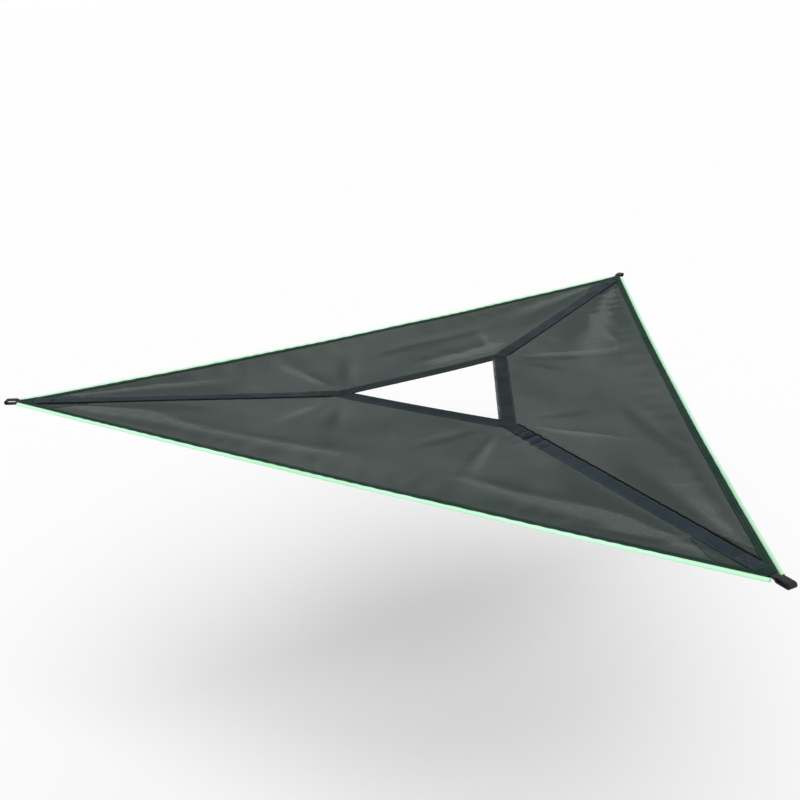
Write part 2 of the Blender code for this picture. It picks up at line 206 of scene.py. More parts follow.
def loft(name, rings, along, around, material, sharp=60):
    # rings is (stations, points, 3), and each ring has an even count of points,
    # which go out along one face and back along the other
    rings = np.asarray(rings, float)
    stations, count = rings.shape[:2]
    i, j = np.arange(stations - 1)[:, None] * count, np.arange(count)
    k = (j + 1) % count
    sides = np.stack([i + j, i + count + j, i + count + k, i + k], axis=-1).reshape(-1, 4)
    near, far, left, right = along[:-1, None], along[1:, None], around[:-1], around[1:]
    corners = np.broadcast_arrays(near, left, far, left, far, right, near, right)
    uvs = [np.stack(corners, axis=-1).reshape(-1, 4, 2)]
    j = j[: count // 2 - 1]
    end = np.stack([j, j + 1, count - 2 - j, count - 1 - j], axis=-1)
    faces = np.concatenate([sides, end, end[:, ::-1] + (stations - 1) * count])
    for station in (0, -1):
        uvs.append(np.repeat(np.stack([along[station] + j * 0, around[j]], axis=-1)[:, None], 4, axis=1))
    uvs = np.concatenate(uvs)
    points = rings.reshape(-1, 3)
    a, b, c, d = points[faces].transpose(1, 0, 2)
    if (a * (np.cross(b, c) + np.cross(c, d))).sum() < 0:  # six times the volume
        faces, uvs = faces[:, ::-1], uvs[:, ::-1]
    mesh = bpy.data.meshes.new(name)
    mesh.from_pydata(points.tolist(), [], faces.tolist())
    layer = mesh.uv_layers.new(name="weave")
    layer.data.foreach_set("uv", uvs.astype(np.float32).ravel())
    mesh.materials.append(material)
    mesh.shade_smooth()
    mesh.set_sharp_from_angle(angle=math.radians(sharp))
    return link(name, mesh)


def sheetLoft(name, place, us, vs, size, thickness, material):
    # a thin closed sheet; place(u, v) gives its middle surface for arrays of u and v
    grid = place(*np.meshgrid(us, vs, indexing="ij"))
    half = np.array([0, 0, thickness / 2])
    rings = np.concatenate([grid + half, (grid - half)[:, ::-1]], axis=1)
    return loft(name, rings, us * size[0], thereAndBack(vs * size[1]), material, 40)


def evenShares(counts):
    return np.linspace(0, 1, counts[0]), np.linspace(-1, 1, counts[1])


def thereAndBack(run):
    return np.concatenate([run, run[::-1], run[:1]])


def unit(vectors):
    return vectors / np.linalg.norm(vectors, axis=-1, keepdims=True)


def lengthAlong(points):
    return np.concatenate([[0], np.cumsum(np.linalg.norm(np.diff(points, axis=0), axis=1))])


# how edges and cut ends are rounded: over this length, its outermost part, and the thickness at both
tapeEdge = {"round": 0.0014, "nose": 0.0005, "shares": (0.3, 0.8)}
cutEnd = {"round": 0.002, "nose": 0.0006, "shares": (0.4, 0.8)}


def roundedRun(start, end, count, edge):
    # places from start to end, and the share of the full thickness at each
    inner = np.linspace(start + edge["round"], end - edge["round"], count)
    places = np.concatenate([[start, start + edge["nose"]], inner, [end - edge["nose"], end]])
    shares = np.ones(count + 4)
    shares[[0, -1]], shares[[1, -2]] = edge["shares"]
    return places, shares


def tapeSection(thickness, columns):
    # offsets across a flat tape and heights over its middle
    offsets, shares = roundedRun(-strapHalf, strapHalf, columns, tapeEdge)
    return offsets, thickness / 2 * shares


def paintFoldShading(item, folds):
    # painted shading of the folds: crests at 1 get a painted highlight and troughs at -1 painted shade, read
    # by the materials
    mark = item.data.attributes.new("fold", "FLOAT", "POINT")
    mark.data.foreach_set("value", np.clip(folds, -1, 1).astype(np.float32).ravel())


def finishPiece(item, slot, *nodes):
    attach(item, "hammock")
    if nodes:
        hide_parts(*nodes)
    return item


# Materials


def fill(tree, node, plugs):
    # plugs are inputs by name or number, each with its value or the output that feeds it
    for key, value in plugs.items():
        if isinstance(value, bpy.types.NodeSocket):
            tree.links.new(value, node.inputs[key])
        else:
            node.inputs[key].default_value = value


def addNode(tree, kind, plugs=None, **values):
    node = tree.nodes.new(kind)
    for key, value in values.items():
        setattr(node, key, value)
    fill(tree, node, plugs or {})
    return node


def feed(tree, kind, plugs=None, **values):
    # adds a node and gives its first output
    return addNode(tree, kind, plugs, **values).outputs[0]


def math2(tree, operation, *operands):
    return feed(tree, "ShaderNodeMath", dict(enumerate(operands)), operation=operation)


def scaledNoise(tree, vector, scale, size, detail):
    mapped = feed(tree, "ShaderNodeMapping", {"Scale": scale, "Vector": vector})
    return feed(tree, "ShaderNodeTexNoise", {"Vector": mapped, "Scale": size, "Detail": detail})


def objectNoise(tree, size, detail):
    place = addNode(tree, "ShaderNodeTexCoord").outputs["Object"]
    return scaledNoise(tree, place, (1, 1, 1), size, detail)


def remap(tree, value, span, low, high):
    plugs = {"Value": value, "From Min": span[0], "From Max": span[1], "To Min": low, "To Max": high}
    return feed(tree, "ShaderNodeMapRange", plugs)


def shaded(tree, colours, factor, gain):
    # a mix of two colours, then made lighter or darker by gain
    plugs = {"A": (*colours[0], 1), "B": (*colours[1], 1), "Factor": factor}
    mix = addNode(tree, "ShaderNodeMix", plugs, data_type="RGBA")
    plugs = {0: mix.outputs["Result"], "Scale": gain}
    return feed(tree, "ShaderNodeVectorMath", plugs, operation="SCALE")


def weaveMap(tree):
    return feed(tree, "ShaderNodeUVMap", uv_map="weave")


# the painted fold shading, pale on crests and dark in troughs
def paintedFoldShading(tree):
    return addNode(tree, "ShaderNodeAttribute", attribute_name="fold").outputs["Fac"]


# the parts of each noise or weave over which its tone changes
spans = {
    "net": (0.2, 0.42), "slub": (0.45, 0.7), "cloud": (0.3, 0.7),
    "tapeCloud": (0.35, 0.65), "pick": (-1.0, 0.5),
}
reliefDepth = {"net": 0.2, "tape": 0.12}  # in pores and in picks


def netWeave(tree, look):
    # a fine net of uneven threads over slow changes of tone, with a painted highlight on the crests of folds
    # and painted shade in their troughs
    uv = weaveMap(tree)
    plugs = {"Scale": 1 / look["pore"], "Randomness": look["uneven"], "Vector": uv}
    pores = feed(tree, "ShaderNodeTexVoronoi", plugs, feature="F1", distance="CHEBYCHEV")
    net = remap(tree, pores, spans["net"], 0, 1)
    lengthwise, crosswise = 1 / look["streak"], 1 / look["thread"]
    warp = scaledNoise(tree, uv, (lengthwise, crosswise, 1), 1.0, 2.0)
    weft = scaledNoise(tree, uv, (crosswise, lengthwise, 1), 1.0, 2.0)
    slub = remap(tree, math2(tree, "MAXIMUM", warp, weft), spans["slub"], 1 - look["slub"], 1 + look["slub"])
    cloud = scaledNoise(tree, uv, look["drag"], look["cloudSize"], 4.0)
    tone = remap(tree, cloud, spans["cloud"], 0, look["tone"])
    factor = math2(tree, "MULTIPLY_ADD", paintedFoldShading(tree), look["crest"], tone)
    gain = math2(tree, "MULTIPLY", remap(tree, net, (0, 1), look["dark"], look["light"]), slub)
    return shaded(tree, look["colours"], factor, gain), net, look["pore"] * reliefDepth["net"]


def tapeWeave(tree, look):
    # columns along the tape, with picks that lean one way and then the other
    split = addNode(tree, "ShaderNodeSeparateXYZ", {0: weaveMap(tree)})
    column = math2(tree, "PINGPONG", math2(tree, "DIVIDE", split.outputs[1], look["column"]), 1.0)
    lean = math2(tree, "MULTIPLY", column, look["lean"])
    pick = math2(tree, "ADD", math2(tree, "DIVIDE", split.outputs[0], look["pick"]), lean)
    wave = math2(tree, "SINE", math2(tree, "MULTIPLY", pick, math.tau))
    groove = math2(tree, "POWER", math2(tree, "ABSOLUTE", math2(tree, "SUBTRACT", column, 0.5)), 2.0)
    weave = math2(tree, "SUBTRACT", math2(tree, "MULTIPLY", wave, 0.5), math2(tree, "MULTIPLY", groove, 2.0))
    tone = remap(tree, objectNoise(tree, look["cloudSize"], 4.0), spans["tapeCloud"], 0, 1)
    gain = remap(tree, weave, spans["pick"], look["dark"], look["light"])
    # painted shade in the troughs and a painted highlight on the crests of the puckers
    gain = math2(tree, "MULTIPLY", gain, math2(tree, "MULTIPLY_ADD", paintedFoldShading(tree), 0.5, 1.0))
    return shaded(tree, look["colours"], tone, gain), weave, look["pick"] * reliefDepth["tape"]


def threadTwist(tree, look):
    twist = objectNoise(tree, look["twistSize"], 1.0)
    gain = remap(tree, twist, spans["cloud"], look["dark"], look["light"])
    tone = objectNoise(tree, look["cloudSize"], 2.0)
    return shaded(tree, look["colours"], tone, gain), twist, look["twistDepth"]


def clothMaterial(name, look, surface):
    # surface(tree, look) gives the colour, the relief and the depth of the relief
    material = bpy.data.materials.new(name)
    material.use_nodes = True
    tree = material.node_tree
    colour, relief, depth = surface(tree, look)
    bump = feed(tree, "ShaderNodeBump", {"Distance": depth, "Strength": look["relief"], "Height": relief})
    fill(tree, tree.nodes["Principled BSDF"], {
        "Base Color": colour, "Normal": bump, "Roughness": look["roughness"],
        "Specular IOR Level": look["gloss"], "Alpha": look.get("cover", 1.0),
    })
    return material


usualTape = {
    "cloudSize": 9.0, "column": 0.0016, "pick": 0.0016, "lean": 1.0, "dark": 0.8, "light": 1.2,
    "relief": 0.6, "roughness": 0.75, "gloss": 0.08,
}
strapTape = {**usualTape, "column": 0.0025, "lean": 0.6, "dark": 0.66, "light": 1.3}
plainTape = {**usualTape, "pick": 0.0012, "lean": 0.0, "dark": 0.85, "light": 1.12, "relief": 0.4}
looks = {
    "netting": {
        "colours": ((0.001, 0.014, 0.011), (0.065, 0.081, 0.073)),
        # crest: how strongly the folds get a painted highlight on their crests and painted shade in their
        # troughs
        "cloudSize": 1.0, "drag": (1.1, 3.2, 1), "tone": 0.56, "crest": 0.6,
        "pore": 0.0028, "uneven": 0.2, "dark": 0.3, "light": 1.9,
        "thread": 0.003, "streak": 0.03, "slub": 0.18,
        "relief": 0.4, "roughness": 0.85, "gloss": 0.06, "cover": 0.77,
    },
    "slateStrap": {**strapTape, "colours": ((0.0155, 0.0255, 0.033), (0.0255, 0.0375, 0.047))},
    "darkStrap": {**strapTape, "colours": ((0.008, 0.0145, 0.017), (0.0175, 0.026, 0.0295))},
    "hemTape": {
        **plainTape, "colours": ((0.008, 0.026, 0.018), (0.017, 0.04, 0.03)),
        "cloudSize": 7.0, "roughness": 0.8,
    },
    "mintPiping": {
        **usualTape, "colours": ((0.46, 0.87, 0.55), (0.66, 0.95, 0.76)),
        "cloudSize": 1.6, "column": 0.0013, "pick": 0.0014, "lean": 0.8, "dark": 0.93, "light": 1.02,
        "relief": 0.35, "gloss": 0.1,
    },
    "blackWelt": {
        **usualTape, "colours": ((0.004, 0.006, 0.005), (0.009, 0.011, 0.01)),
        "cloudSize": 12.0, "pick": 0.0018, "relief": 0.5,
    },
    "blackLoop": {
        **strapTape, "colours": ((0.007, 0.007, 0.007), (0.014, 0.014, 0.014)),
        "cloudSize": 14.0, "dark": 0.6, "light": 1.7, "roughness": 0.6, "gloss": 0.2,
    },
    "shieldCloth": {
        **plainTape, "colours": ((0.028, 0.041, 0.052), (0.044, 0.06, 0.073)),
        "cloudSize": 8.0, "column": 0.0012, "roughness": 0.85, "gloss": 0.06,
    },
    "cottonCord": {
        **usualTape, "colours": ((0.62, 0.6, 0.54), (0.76, 0.73, 0.67)),
        "cloudSize": 20.0, "pick": 0.0022, "light": 1.05, "roughness": 0.9, "gloss": 0.1,
    },
    # its pale patches are painted highlights on the roll's puckers, over the roll's own paler tone
    "rolledNetting": {
        "colours": ((0.03, 0.04, 0.04), (0.17, 0.185, 0.18)),
        "cloudSize": 16.0, "drag": (1, 1, 1), "tone": 1.0, "crest": 0.0,
        "pore": 0.0022, "uneven": 0.3, "dark": 0.6, "light": 1.3,
        "thread": 0.003, "streak": 0.02, "slub": 0.3,
        "relief": 0.6, "roughness": 0.85, "gloss": 0.06,
    },
    "greyThread": {
        "colours": ((0.075, 0.085, 0.095), (0.14, 0.15, 0.16)),
        "cloudSize": 60.0, "twistSize": 900.0, "twistDepth": 0.0002, "dark": 0.85, "light": 1.15,
        "relief": 0.3, "roughness": 0.7, "gloss": 0.15,
    },
}
netting = clothMaterial("netting", looks["netting"], netWeave)
rolledNetting = clothMaterial("rolled netting", looks["rolledNetting"], netWeave)
greyThread = clothMaterial("grey thread", looks["greyThread"], threadTwist)
tapes = {name: clothMaterial(name, look, tapeWeave) for name, look in looks.items() if "column" in look}
print("materials made")


# Netting panels

nettingPanel = {
    "thickness": 0.0008, "steps": (384, 88), "seamGap": 0.0002, "rimInset": 0.0022,
    "tipInset": 0.006,
    "rimCalm": (0.024, 0.085),  # flat up to the first distance, and in full folds from the second
    "holeCalm": (0.028, 0.075), "seamCalm": (0.027, 0.075), "billow": 0.012, "slowFold": 0.004,
    "holeFanInset": 0.02, "slowReach": 0.8, "crumple": 0.0006, "crumpleSize": 0.15,
    "crumplePatch": 0.7,  # the size of the areas that are more and less crumpled
    "crumpleLeast": 0.4,
    "foldShade": 0.0036,  # the height of a fold at which the painted highlight on its crest is palest
    "creaseBend": 0.03, "creaseFade": 0.25,  # as shares of the length
    "creaseTrough": (0.4, 1.8),  # its depth as a share, and how far out, in widths
    "creases": (  # start x and y, end x and y, width and height
        (0.48, -0.797, 1.24, -0.694, 0.016, -0.0048),
        (0.3, -0.6, 1.05, -0.66, 0.024, 0.0036),
        (-0.26, 0.19, -0.05, 0.6, 0.036, 0.005),
        (-0.5, 0.22, -0.22, 0.74, 0.03, -0.003),
        (0.06, 1.28, 0.44, 0.86, 0.016, -0.004),
        (0.02, 1.16, 0.36, 0.72, 0.018, 0.0036),
        (0.6, 0.16, 0.98, -0.22, 0.022, -0.0028),
        (-1.02, -0.66, 0.1, -0.6, 0.026, 0.0032),
    ),
}

# tension folds that fan out of the corners, every other one hanging down
cornerFan = {"count": 3, "height": 0.005, "reach": 1.25, "spread": halfCorner}
holeFan = {"count": 3, "height": 0.004, "reach": 0.62, "spread": math.radians(150)}
fanFold = {
    "first": 0.75, "wander": 0.22, "lengths": (0.6, 1.1), "heights": (0.55, 1.15), "down": -0.7,
    "width": 0.01, "widening": 0.045, "widenings": (0.8, 1.3), "bend": 0.05,
    "trough": 0.5, "troughAt": 1.7,  # beside each crest, in its widths
    "rise": (0.05, 0.22), "fadeFrom": 0.35,
}
# waves across the rims, deeper near the rear corner of the right panel
rimGather = {"height": 0.0011, "pitch": 0.115, "reach": 0.13, "wander": 0.05, "wanderSize": 0.5}
rearGather = {
    "height": 0.0036, "pitch": 0.078, "finePitch": 0.043, "fineShare": 0.4, "lean": 0.22,
    "wander": 0.02, "wanderSize": 0.3, "rise": (0.72, 0.98), "fade": (1.18, 1.3),
}
# short waves in the netting beside the straps
pucker = {
    "height": 0.0007, "pitch": 0.041, "away": 0.05, "width": 0.03, "sway": 1.5, "swaySize": 0.2,
    "seamCalm": (0.027, 0.045), "rimCalm": (0.03, 0.09),
}


def fanFolds(fromX, fromY, fan, seed):
    # folds that run out of a corner: fromX along one edge of it, fromY away from that edge
    values = fanFold
    rng = random.Random(seed)
    distance = np.hypot(fromX, fromY)
    angle = np.arctan2(fromY, fromX)
    total = 0.0
    for i in range(fan["count"]):
        place = i + values["first"] + rng.uniform(-values["wander"], values["wander"])
        middle = fan["spread"] * place / (fan["count"] + 0.5)
        length = fan["reach"] * rng.uniform(*values["lengths"])
        width = values["width"] + values["widening"] * distance * rng.uniform(*values["widenings"])
        bend = values["bend"] * rng.uniform(-1, 1) * distance
        aside = distance * np.sin(angle - middle - bend)
        crest = bell(aside, width) - values["trough"] * bell(aside - values["troughAt"] * width, width)
        fade = smooth(distance, values["fadeFrom"] * length, length)
        along = smooth(distance, *values["rise"]) * (1 - fade)
        side = 1 if i % 2 else values["down"]
        total = total + fan["height"] * rng.uniform(*values["heights"]) * side * crest * along
    return total


def creaseFolds(x, y):
    # the few long folds that have a place of their own
    bend, fadeShare = nettingPanel["creaseBend"], nettingPanel["creaseFade"]
    trough, troughAt = nettingPanel["creaseTrough"]
    total = 0.0
    for startX, startY, endX, endY, width, height in nettingPanel["creases"]:
        length = math.hypot(endX - startX, endY - startY)
        wayX, wayY = (endX - startX) / length, (endY - startY) / length
        along = ((x - startX) * wayX + (y - startY) * wayY) / length
        aside = (y - startY) * wayX - (x - startX) * wayY + bend * length * np.sin(math.pi * along)
        fade = smooth(along, 0, fadeShare) * (1 - smooth(along, 1 - fadeShare, 1))
        total = total + height * fade * (bell(aside, width) - trough * bell(aside / width - troughAt, 1))
    return total


def rimGathers(fx, fy, rimAway, seed):
    wander = fx + rimGather["wander"] * softNoise(fx, fy, rimGather["wanderSize"], seed + 20)
    wave = np.sin(math.tau * wander / rimGather["pitch"] + seed)
    return rimGather["height"] * wave * bell(rimAway, rimGather["reach"])


def rearGathers(fx, fy):
    values = rearGather
    wander = values["wander"] * softNoise(fx, fy, values["wanderSize"], 5)
    lean = fx + values["lean"] * (fy + apothem) + wander
    fine = np.sin(math.tau * lean / values["finePitch"] + 1)
    deep = np.sin(math.tau * lean / values["pitch"]) + values["fineShare"] * fine
    return values["height"] * deep * smooth(fx, *values["rise"]) * (1 - smooth(fx, *values["fade"]))


def seamPuckers(fx, fy, rimAway, seamAway):
    values = pucker
    run = np.abs(fx) * cornerCosine - fy * cornerSine
    phase = math.tau * run / values["pitch"] + values["sway"] * softNoise(fx, fy, values["swaySize"], 9)
    calm = smooth(seamAway, *values["seamCalm"]) * smooth(rimAway, *values["rimCalm"])
    return values["height"] * bell(seamAway - values["away"], values["width"]) * np.sin(phase) * calm


def nettingRelief(fx, fy, panel):
    # the height of the netting over its flat hung shape, and the folds and puckers from which its painted
    # shade and highlights are taken
    values = nettingPanel
    seed = panelTurns[panel] + 11
    across, outward = panelShare(fx, fy)
    reach = bowReach(across)
    rimAway = (1 - outward) * reach
    seamAway = -cornerCosine * fy - cornerSine * np.abs(fx)
    calm = smooth(rimAway, *values["rimCalm"]) * smooth(outward * reach, *values["holeCalm"])
    calm = calm * smooth(seamAway, *values["seamCalm"])
    billow = -values["billow"] * np.sin(math.pi * np.clip(outward, 0, 1)) * (1 - across * across)
    fromX = halfSide - np.abs(fx)
    fromY = apothem + fy
    wave = np.sin(math.tau * 2 * np.arctan2(fromY, fromX) / halfCorner)
    slow = values["slowFold"] * wave * bell(np.hypot(fromX, fromY), values["slowReach"])
    folds = creaseFolds(*turned(fx, fy, panelTurns[panel]))
    for end, side in ((0, -1), (1, 1)):
        corner = fanFolds(halfSide - fx * side, fromY, cornerFan, seed + end)
        holeX, holeY = fx * side - hang["holeSide"] / 2, -holeApothem - fy
        inset = values["holeFanInset"]
        hole = fanFolds(holeX + inset, holeY + inset, holeFan, seed + 5 + end)
        folds = folds + np.where(fx * side > 0, corner, 0) + hole
    folds = folds + rimGathers(fx, fy, rimAway, seed)
    if panel == "right":
        folds = folds + rearGathers(fx, fy)
    least = values["crumpleLeast"]
    patch = least + (1 - least) * softNoise(fx, fy, values["crumplePatch"], 8) ** 2
    folds = folds + values["crumple"] * softNoise(fx, fy, values["crumpleSize"], seed + 40) * patch
    beside = seamPuckers(fx, fy, rimAway, seamAway)
    gather = ripples["gather"] * gatherWave(*turned(fx, fy, panelTurns[panel]))
    return calm * (billow + slow + folds) + beside, calm * folds + beside + gather


def seamLimit(y, gap, tip):
    # how far a line across the front panel may run each way, up to the gap at the seam and the blunt tip
    besideSeam = (-y * cornerCosine - gap) / cornerSine
    return np.minimum(besideSeam, (tip + y * cornerSine) / cornerCosine)


def makeNetting(panel, degrees):
    values = nettingPanel
    width = apothem - holeApothem
    shade = []

    def place(u, v):
        outward = v * (1 - values["rimInset"] / bowReach(u))
        y = -holeApothem - outward * bowReach(u)
        x = u * seamLimit(y, values["seamGap"], bluntCorner - values["tipInset"])
        height, folds = nettingRelief(x, y, panel)
        shade.append(folds / values["foldShade"])
        return draped(x, y, height, degrees)

    us = np.linspace(-1, 1, values["steps"][0] + 1)
    vs = np.linspace(0, 1, values["steps"][1] + 1)
    item = sheetLoft(panel + "Netting", place, us, vs, (halfSide, width), values["thickness"], netting)
    paintFoldShading(item, np.concatenate([shade[0], shade[0][:, ::-1]], axis=1))
    return finishPiece(item, "mesh", panel + "_mesh_panel")


nettingPieces = forEach(panelTurns, makeNetting)
print("netting made")


# Rims: hem tape, mint piping and the cord in it

rim = {
    "steps": 420, "hemWidth": 0.022, "hemThickness": 0.001,
    "hemLines": (0.022, 0.0215, 0.017, 0.012, 0.007, 0.003),  # along its flats, inside the rim
    "foldInset": 0.0005,
    "foldRest": 0.35,  # the part of the half turn at each end of the fold that is left out, in radians
    "hemWave": 0.0004, "hemWavePitch": 0.019, "hemWaveSway": (2, 11),
    "hemWaveFrom": 0.01,  # the rim itself stays calm
    "pipingOut": 0.0064, "pipingRadius": 0.006, "pipingWall": 0.0008,
    "pipingSlit": 42,  # degrees that are left open towards the hem
    "flangeLines": (0.014, 0.009, 0.004), "overhang": 0.022, "cordSteps": 560, "cordRadius": 0.0044,
    "strandPitch": 0.032, "strandDepth": 0.07,
}


def rimLimit(out, tip, half):
    # the same for a line this far outside the rim, beside a strap of this half width
    return seamLimit(-apothem - out, half + hang["edgeGap"], tip)


def rimRow(x, out, height, degrees):
    across = x / halfSide
    return draped(x, -apothem + hang["rimBow"] * (1 - across * across) - out, height, degrees)


def rimTape(name, profile, tip, half, thickness, look, degrees, wave=0.0):
    # a folded tape along the rim; profile is a list of (out, height) across it
    shares = np.linspace(-1, 1, rim["steps"] + 1)
    sway, swayRate = rim["hemWaveSway"]
    rows = []
    for out, height in profile:
        x = shares * rimLimit(out, tip, half)
        waves = wave * np.sin(math.tau * x / rim["hemWavePitch"] + sway * np.sin(x * swayRate))
        rows.append(rimRow(x, out, height + waves * (out < -rim["hemWaveFrom"]), degrees))
    middle = np.stack(rows, axis=1)
    face = unit(np.cross(np.gradient(middle, axis=0), np.gradient(middle, axis=1))) * thickness / 2
    rings = np.concatenate([middle + face, (middle - face)[:, ::-1]], axis=1)
    around = thereAndBack(lengthAlong(np.array(profile)))
    return loft(name, rings, shares * halfSide, around, tapes[look])


def makeHem(panel, degrees):
    height, rest = lift["hem"], rim["foldRest"]
    turns = np.linspace(rest, math.pi - rest, 7)
    fold = [(-rim["foldInset"] - height * (1 - math.sin(a)), height * math.cos(a)) for a in turns]
    over = [(-out, height) for out in rim["hemLines"]]
    profile = over + fold + [(out, -height) for out, _ in reversed(over)]
    thickness, wave = rim["hemThickness"], rim["hemWave"]
    item = rimTape(panel + "Hem", profile, bluntCorner, strapHalf, thickness, "hemTape", degrees, wave)
    return finishPiece(item, "hem", panel + "_rim_hem")


def makePiping(panel, degrees):
    wall, tip = rim["pipingWall"], bluntCorner + rim["overhang"]
    radius = rim["pipingRadius"] - wall / 2
    meeting = math.pi + math.asin(-lift["flange"] / radius)
    turns = np.linspace(meeting, meeting + math.tau - math.radians(rim["pipingSlit"]), 19)
    profile = [(-out, lift["flange"]) for out in rim["flangeLines"]]
    profile += [(rim["pipingOut"] + radius * math.cos(a), radius * math.sin(a)) for a in turns]
    item = rimTape(panel + "Piping", profile, tip, hang["loopHalf"], wall, "mintPiping", degrees)
    return finishPiece(item, "piping", panel + "_edge_piping")


def makeFiller(panel, degrees):
    # three strands twisted together
    radius, depth = rim["cordRadius"], rim["strandDepth"]
    limit = rimLimit(rim["pipingOut"], bluntCorner + rim["overhang"] - radius, hang["loopHalf"])
    x = np.linspace(-limit, limit, rim["cordSteps"])
    turns = np.linspace(0, math.tau, 13)
    rows = []
    for a in turns[:-1]:
        size = radius * (1 - depth + depth * np.cos(3 * (a - math.tau * x / rim["strandPitch"])))
        rows.append(rimRow(x, rim["pipingOut"] + size * math.cos(a), size * math.sin(a), degrees))
    item = loft(panel + "PipingCord", np.stack(rows, axis=1), x, turns * radius, tapes["cottonCord"], 80)
    return finishPiece(item, "piping_filler", panel + "_piping_filler")


hemPieces = forEach(panelTurns, makeHem)
pipingPieces = forEach(panelTurns, makePiping)
forEach(panelTurns, makeFiller)
print("rims made")


# Straps on the seams and round the hole

strap = {
    "thickness": 0.0015, "columns": 11, "taper": 0.035,
    "solidEnd": 0.0034,  # inside the hinge
    "outerEnd": 0.016,  # where the loop's plies take over, inside the hinge
    "tail": 0.115,  # the upper ply, up to the hinge
    "steps": 260, "plySteps": 60, "holeSteps": 130,
    "rolls": {"front": 0.0022, "left": 0.0024, "right": 0.0048},  # the rolled edges at the hole
    "rollOverrun": 0.0035,  # past the corner of the hole
    "rollTuck": (0.0002, 0.0004),  # under the strap's edge, and above its middle
    "rollShare": 0.85,  # how much of its radius is between its middle and the strap's edge
    "rollSteps": 260, "rollUneven": (0.06, 0.12),  # tight and loose
    "weltRadius": 0.003, "weltSteps": 320, "weltUneven": 0.05,
    "weltAside": 0.0006,  # from the edge of the strap
    "weltLift": 0.0009, "weltStart": 0.012, "patchIn": 0.018, "patchOut": 0.12,
    "shieldThickness": 0.0009, "shieldLength": 0.22, "shieldHalf": 0.062, "shieldBack": 0.036,
    "shieldSpread": 0.25, "shieldSteps": (60, 25), "shieldFade": (-0.001, 0.002),
    "shieldPaler": 0.75,  # how much paler the netting over a shield is painted, standing in for light from the shield through the pores, as the height of a fold
}
strapCrossing = holeCircumradius + strapHalf / cornerSine
hemCrossing = circumradius - rim["hemWidth"] / math.sin(rimAngle)
strapEnd = hingeRadius - strap["solidEnd"]
tailStart = strapEnd - strap["tail"]
plyEnd = hingeRadius - strap["outerEnd"]
patchEnd = holeCircumradius + strap["patchOut"]
shieldEnd = bluntCorner - nettingPanel["tipInset"] - rim["hemWidth"]
shieldStart = shieldEnd - strap["shieldLength"]


def strapHalfWidth(along):
    start = bluntCorner - strap["taper"]
    share = np.clip((along - start) / (strapEnd - start), 0, 1)
    return strapHalf + (hang["loopHalf"] - strapHalf) * share


def makePly(corner, degrees, kind, node, slot, look, height, start, end, steps):
    # a length of webbing along a seam, its cut ends rounded
    stations, fullness = roundedRun(start, end, steps, cutEnd)
    offsets, heights = tapeSection(strap["thickness"], strap["columns"])
    along = stations[:, None]
    aside = offsets * strapHalfWidth(along) / strapHalf
    rise = heights * fullness[:, None]
    top = draped(along, aside, height + rise, degrees)
    under = draped(along, aside, height - rise, degrees)
    rings = np.concatenate([top, under[:, ::-1]], axis=1)
    item = loft(corner + kind, rings, stations, thereAndBack(offsets), tapes[look])
    # painted shade and highlight across the puckers beside the right hole corner
    paintFoldShading(item, gatherWave(rings[..., 0], rings[..., 1]))
    return finishPiece(item, slot, corner + node)


def makeHoleStrap(panel, degrees):
    # mitred on both seams, so each line across it ends at its own length
    offsets, heights = tapeSection(strap["thickness"], strap["columns"])
    shares = np.linspace(-1, 1, strap["holeSteps"])
    rows = []
    for side in (1, -1):
        for offset, height in list(zip(offsets, heights))[::side]:
            x = shares * ((holeApothem + offset) / cornerTangent - hang["edgeGap"])
            rows.append(draped(x, -holeApothem - offset, lift["strap"] + side * height, degrees))
    along = shares * hang["holeSide"] / 2
    rings = np.stack(rows, axis=1)
    item = loft(panel + "HoleStrap", rings, along, thereAndBack(offsets), tapes["darkStrap"])
    return finishPiece(item, "hole_webbing", panel + "_hole_strap")


# how the radius of a welt changes along it: share, turns per metre in radians, sway and its turns
tubeWaves = ((1, 210, 2, 37), (0.6, 433, 3, 61))


def tubeAlong(name, points, radius, sides, material, uneven):
    # a round welt through points, its rings square to its way
    way = unit(np.gradient(points, axis=0))
    aside = unit(np.cross(way, [0, 0, 1.0]))
    up = np.cross(aside, way)
    run = lengthAlong(points)
    turns = np.linspace(0, math.tau, sides + 1)
    waves = sum(part * np.sin(run * rate + sway * np.sin(run * slow)) for part, rate, sway, slow in tubeWaves)
    size = radius * (1 - uneven + uneven * waves)
    size = size * np.sqrt(np.clip(np.minimum(run, run[-1] - run) / radius, 0.25, 1))
    a = turns[:-1, None]
    around = np.cos(a) * aside[:, None] + np.sin(a) * up[:, None]
    rings = points[:, None] + size[:, None, None] * around
    return loft(name, rings, run, turns * radius, material, 80)


def makeHoleRoll(panel, degrees):
    # the rolled edge of the hole strap; the right one is a looser roll of netting, paler, with painted
    # highlights in patches along it
    radius = strap["rolls"][panel]
    loose = panel == "right"
    out = strapHalf - strap["rollTuck"][0] + radius * strap["rollShare"]
    limit = (holeApothem - out) / cornerTangent + strap["rollOverrun"]
    x = np.linspace(-limit, limit, strap["rollSteps"])
    points = draped(x, -holeApothem + out, lift["strap"] + strap["rollTuck"][1], degrees)
    material = rolledNetting if loose else tapes["blackWelt"]
    item = tubeAlong(panel + "HoleRoll", points, radius, 12, material, strap["rollUneven"][loose])
    return finishPiece(item, "mesh" if loose else "binding")


def makeWelt(corner, degrees):
    radius = strap["weltRadius"]
    beside = strapHalf + strap["weltAside"] + radius
    start = holeCircumradius + strap["weltStart"]
    end = hemCrossing - (beside + radius + hang["edgeGap"]) / math.tan(rimAngle)
    along = np.linspace(start, end, strap["weltSteps"])
    side = -1 if corner == "rear" else 1
    points = draped(along, side * beside, strap["weltLift"] + radius, degrees)
    item = tubeAlong(corner + "Welt", points, radius, 10, tapes["blackWelt"], strap["weltUneven"])
    return finishPiece(item, "binding", corner + "_seam_binding")


